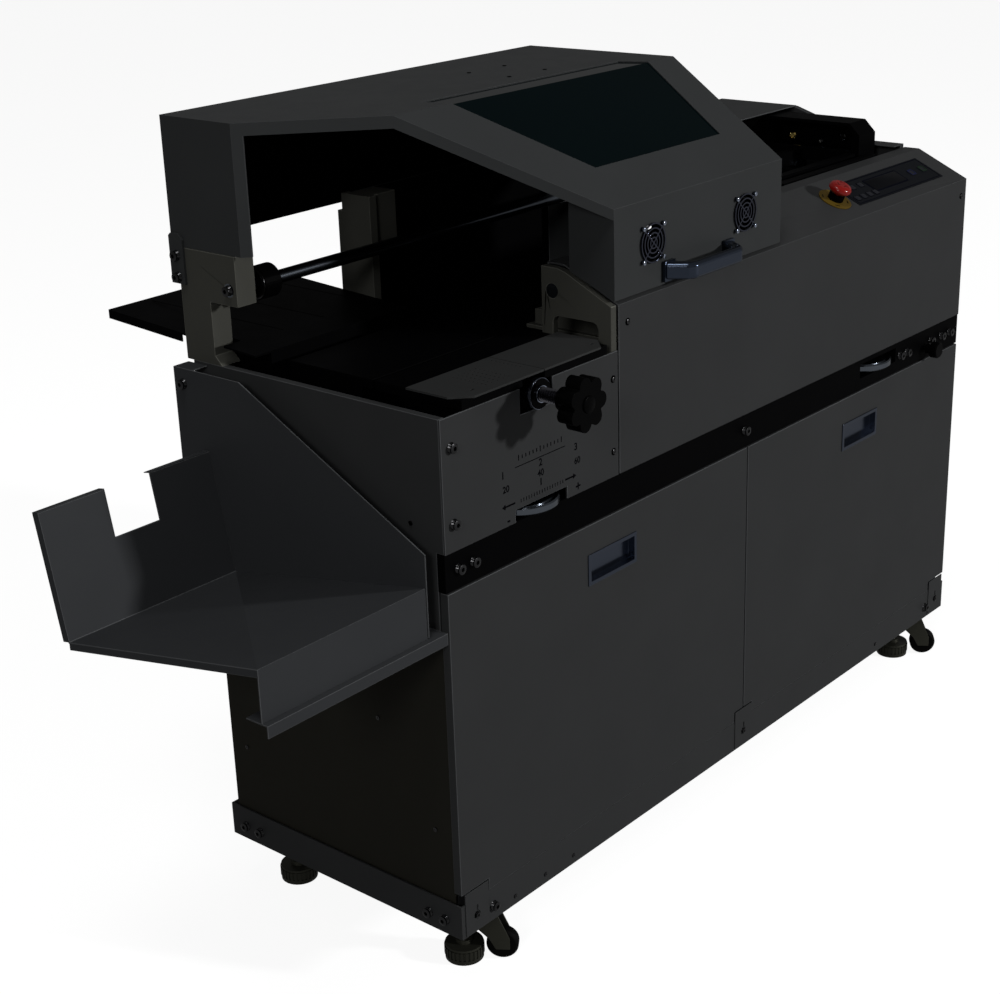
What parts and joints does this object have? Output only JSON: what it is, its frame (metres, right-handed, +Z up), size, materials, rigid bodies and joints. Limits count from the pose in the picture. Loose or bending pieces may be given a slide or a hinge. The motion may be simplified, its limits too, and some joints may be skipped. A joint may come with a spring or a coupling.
{
  "type": "perfect binding machine",
  "caption": "Floor-standing perfect binder: cabinet on levelling casters, sliding clamp carriage, hinged cover with window and fans, nip jaws, delivery tray.",
  "frame": {"origin": "middle of the machine's box in plan, on the floor under the levelling feet", "axes": "+X from the delivery tray to the control panel end, -Y the operator's side with the doors, +Z up"},
  "size_m": [1.823, 0.783, 1.262],
  "materials": {
    "charcoal_paint": "fine textured powder coat",
    "dark_paint": "satin black",
    "casting": "warm grey enamel",
    "zinc": "plated",
    "chrome": "polished",
    "perforated": "satin",
    "brushed": "brushed",
    "black_plastic": "matte",
    "tinted_glass": "tinted, clear",
    "red_plastic": "gloss",
    "yellow_plastic": "satin",
    "blue_plastic": "satin",
    "green_plastic": "satin",
    "membrane": "satin film",
    "tool_steel": "ground",
    "tyre": "matte"
  },
  "bodies": {
    "cabinet": {"cabinet_frame": "charcoal_paint", "lower_end_panels": "charcoal_paint", "rear_panel": "charcoal_paint", "left_side_plate": "charcoal_paint", "right_side_plate": "charcoal_paint", "front_band": "dark_paint", "small_front_panel": "charcoal_paint", "main_front_panel": "charcoal_paint", "machine_bed": "dark_paint", "rear_deck": "charcoal_paint", "chute_plate": "charcoal_paint", "delivery_tray": "charcoal_paint", "tray_ledge": "charcoal_paint", "rear_post": "casting", "rear_bracket": "casting", "mid_casting": "casting", "guide_rods": "zinc", "cover_feed_table": "charcoal_paint", "hinge_brackets": "charcoal_paint", "nip_rear_jaw": "dark_paint", "handwheel_brackets": "zinc", "control_membrane": "membrane", "estop_base": "yellow_plastic", "cutter_motor": "dark_paint", "glue_tank": "casting", "caster_mounts": "zinc", "frame_bolts": "zinc"},
    "cover": {"cover_shell": "charcoal_paint", "cover_window": "tinted_glass", "fan_frames": "black_plastic", "fan_guards": "chrome", "pull_handle": "brushed"},
    "left_fan": {"left_fan_impeller": "black_plastic"},
    "right_fan": {"right_fan_impeller": "black_plastic"},
    "left_door_leaf": {"left_door": "charcoal_paint", "left_door_pull": "chrome"},
    "right_door_leaf": {"right_door": "charcoal_paint", "right_door_pull": "chrome"},
    "nip_slide": {"nip_front_jaw": "dark_paint", "nip_table": "perforated"},
    "nip_knob": {"star_knob": "black_plastic"},
    "thickness_wheel": {"thickness_handwheel": "chrome"},
    "glue_wheel": {"glue_handwheel": "chrome"},
    "lock": {"lock_knob": "black_plastic"},
    "key_blue": {"blue_key": "blue_plastic"},
    "key_green": {"green_key": "green_plastic"},
    "stop_head": {"estop_button": "red_plastic"},
    "cutter": {"milling_cutter": "tool_steel"},
    "roller": {"glue_roller": "tool_steel"},
    "carriage": {"carriage_frame": "dark_paint"},
    "jaw": {"clamp_jaw": "dark_paint"},
    "jaw_screw": {"clamp_screw": "chrome"},
    "front_left_caster": {"front_left_fork": "zinc"},
    "front_left_roll": {"front_left_wheel": "tyre"},
    "front_right_caster": {"front_right_fork": "zinc"},
    "front_right_roll": {"front_right_wheel": "tyre"},
    "rear_left_caster": {"rear_left_fork": "zinc"},
    "rear_left_roll": {"rear_left_wheel": "tyre"},
    "rear_right_caster": {"rear_right_fork": "zinc"},
    "rear_right_roll": {"rear_right_wheel": "tyre"}
  },
  "joints": [
    {"name": "cover_hinge", "type": "hinge", "parent": "cabinet", "child": "cover", "pos_m": [-0.1585, 0.2135, 1.084], "axis": [-1, 0, 0], "range_deg": [0, 65]},
    {"name": "left_fan_spin", "type": "hinge", "parent": "cover", "child": "left_fan", "pos_m": [-0.0965, -0.2875, 1.048], "axis": [0, -1, 0], "continuous": true},
    {"name": "right_fan_spin", "type": "hinge", "parent": "cover", "child": "right_fan", "pos_m": [0.1495, -0.2875, 1.048], "axis": [0, -1, 0], "continuous": true},
    {"name": "left_door_tilt", "type": "hinge", "parent": "cabinet", "child": "left_door_leaf", "pos_m": [-0.2005, -0.2955, 0.1503], "axis": [1, 0, 0], "range_deg": [0, 30]},
    {"name": "right_door_tilt", "type": "hinge", "parent": "cabinet", "child": "right_door_leaf", "pos_m": [0.5395, -0.2955, 0.1503], "axis": [1, 0, 0], "range_deg": [0, 30]},
    {"name": "nip_jaw_slide", "type": "slide", "parent": "cabinet", "child": "nip_slide", "axis": [0, -1, 0], "range_m": [-0.0055, 0.018]},
    {"name": "nip_knob_turn", "type": "hinge", "parent": "cabinet", "child": "nip_knob", "pos_m": [-0.3765, -0.2955, 0.891], "axis": [0, -1, 0], "range_deg": [-210, 690]},
    {"name": "thickness_wheel_turn", "type": "hinge", "parent": "cabinet", "child": "thickness_wheel", "pos_m": [-0.3655, -0.2515, 0.72], "axis": [0, 0, 1], "range_deg": [-720, 720]},
    {"name": "glue_wheel_turn", "type": "hinge", "parent": "cabinet", "child": "glue_wheel", "pos_m": [0.6025, -0.2515, 0.687], "axis": [0, 0, 1], "range_deg": [-720, 720]},
    {"name": "lock_knob_turn", "type": "hinge", "parent": "cabinet", "child": "lock", "pos_m": [0.7805, -0.2935, 0.672], "axis": [0, -1, 0], "range_deg": [-360, 0]},
    {"name": "blue_key_press", "type": "slide", "parent": "cabinet", "child": "key_blue", "axis": [0, 0.4219, -0.9066], "range_m": [0, 0.0005], "stiffness_N_per_m": 800, "springref_m": -0.0003},
    {"name": "green_key_press", "type": "slide", "parent": "cabinet", "child": "key_green", "axis": [0, 0.4219, -0.9066], "range_m": [0, 0.0005], "stiffness_N_per_m": 800, "springref_m": -0.0003},
    {"name": "stop_press", "type": "slide", "parent": "cabinet", "child": "stop_head", "axis": [0, 0.4219, -0.9066], "range_m": [0, 0.004], "stiffness_N_per_m": 1500, "springref_m": -0.002},
    {"name": "cutter_spin", "type": "hinge", "parent": "cabinet", "child": "cutter", "pos_m": [0.1865, -0.1325, 0.924], "axis": [0, 0, 1], "continuous": true},
    {"name": "roller_spin", "type": "hinge", "parent": "cabinet", "child": "roller", "pos_m": [0.0165, -0.1245, 0.906], "axis": [0, 1, 0], "continuous": true},
    {"name": "carriage_slide", "type": "slide", "parent": "cabinet", "child": "carriage", "axis": [-1, 0, 0], "range_m": [0, 0.96]},
    {"name": "jaw_slide", "type": "slide", "parent": "carriage", "child": "jaw", "axis": [0, 1, 0], "range_m": [-0.0195, 0.08]},
    {"name": "jaw_screw_turn", "type": "hinge", "parent": "carriage", "child": "jaw_screw", "pos_m": [0.7785, 0.0045, 0.989], "axis": [0, 1, 0], "range_deg": [-720, 2900]},
    {"name": "front_left_swivel", "type": "hinge", "parent": "cabinet", "child": "front_left_caster", "pos_m": [-0.4985, -0.2285, 0.064], "axis": [0, 0, 1], "continuous": true},
    {"name": "front_left_wheel_spin", "type": "hinge", "parent": "front_left_caster", "child": "front_left_roll", "pos_m": [-0.46409, -0.27765, 0.027], "axis": [0.8192, 0.5736, 0], "continuous": true},
    {"name": "front_right_swivel", "type": "hinge", "parent": "cabinet", "child": "front_right_caster", "pos_m": [0.8315, -0.2285, 0.064], "axis": [0, 0, 1], "continuous": true},
    {"name": "front_right_wheel_spin", "type": "hinge", "parent": "front_right_caster", "child": "front_right_roll", "pos_m": [0.86591, -0.27765, 0.027], "axis": [0.8192, 0.5736, 0], "continuous": true},
    {"name": "rear_left_swivel", "type": "hinge", "parent": "cabinet", "child": "rear_left_caster", "pos_m": [-0.4985, 0.1375, 0.064], "axis": [0, 0, 1], "continuous": true},
    {"name": "rear_left_wheel_spin", "type": "hinge", "parent": "rear_left_caster", "child": "rear_left_roll", "pos_m": [-0.46409, 0.08835, 0.027], "axis": [0.8192, 0.5736, 0], "continuous": true},
    {"name": "rear_right_swivel", "type": "hinge", "parent": "cabinet", "child": "rear_right_caster", "pos_m": [0.8315, 0.1375, 0.064], "axis": [0, 0, 1], "continuous": true},
    {"name": "rear_right_wheel_spin", "type": "hinge", "parent": "rear_right_caster", "child": "rear_right_roll", "pos_m": [0.86591, 0.08835, 0.027], "axis": [0.8192, 0.5736, 0], "continuous": true}
  ],
  "couplings": [
    {"joint": "nip_knob_turn", "follows": "nip_jaw_slide", "rad_per_m": 628.32},
    {"joint": "jaw_screw_turn", "follows": "jaw_slide", "rad_per_m": 628.32}
  ]
}
